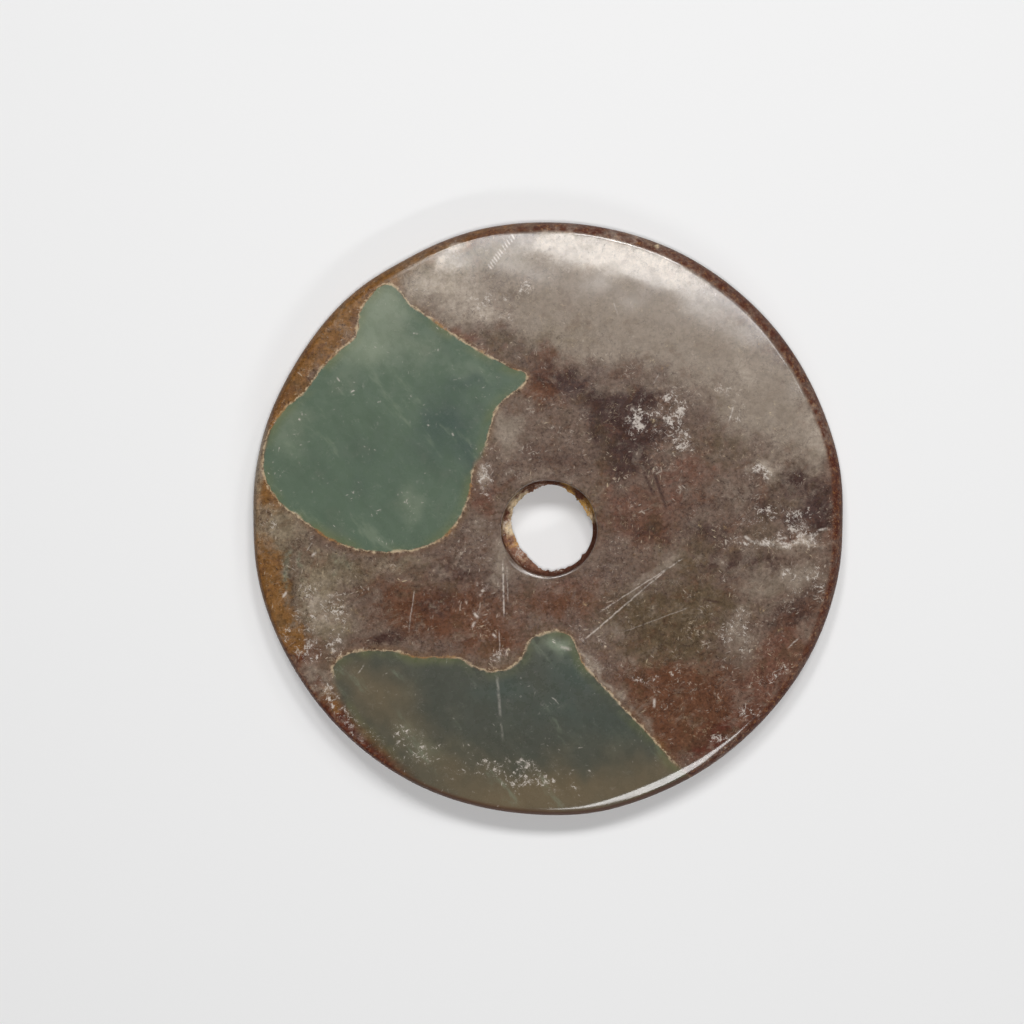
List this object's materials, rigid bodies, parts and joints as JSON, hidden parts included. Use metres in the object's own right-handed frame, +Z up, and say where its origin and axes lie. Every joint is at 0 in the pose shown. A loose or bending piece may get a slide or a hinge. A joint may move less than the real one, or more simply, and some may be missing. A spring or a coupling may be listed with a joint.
{
  "type": "jade bi disc",
  "caption": "Flat round jade disc with a small drilled central hole, hand-ground rim, russet skin and green windows; lies flat.",
  "frame": {"origin": "on the underside's plane, at the middle of the outline", "axes": "+Z up through the thickness, out of the upper face; +X to the right and +Y away when the upper face is seen from above"},
  "size_m": [0.1194, 0.1201, 0.009],
  "materials": {
    "jade": "soft hand polish; mottled russet-brown skin with two grey-green windows"
  },
  "bodies": {
    "root": {"bi_disc": "jade"}
  },
  "joints": []
}
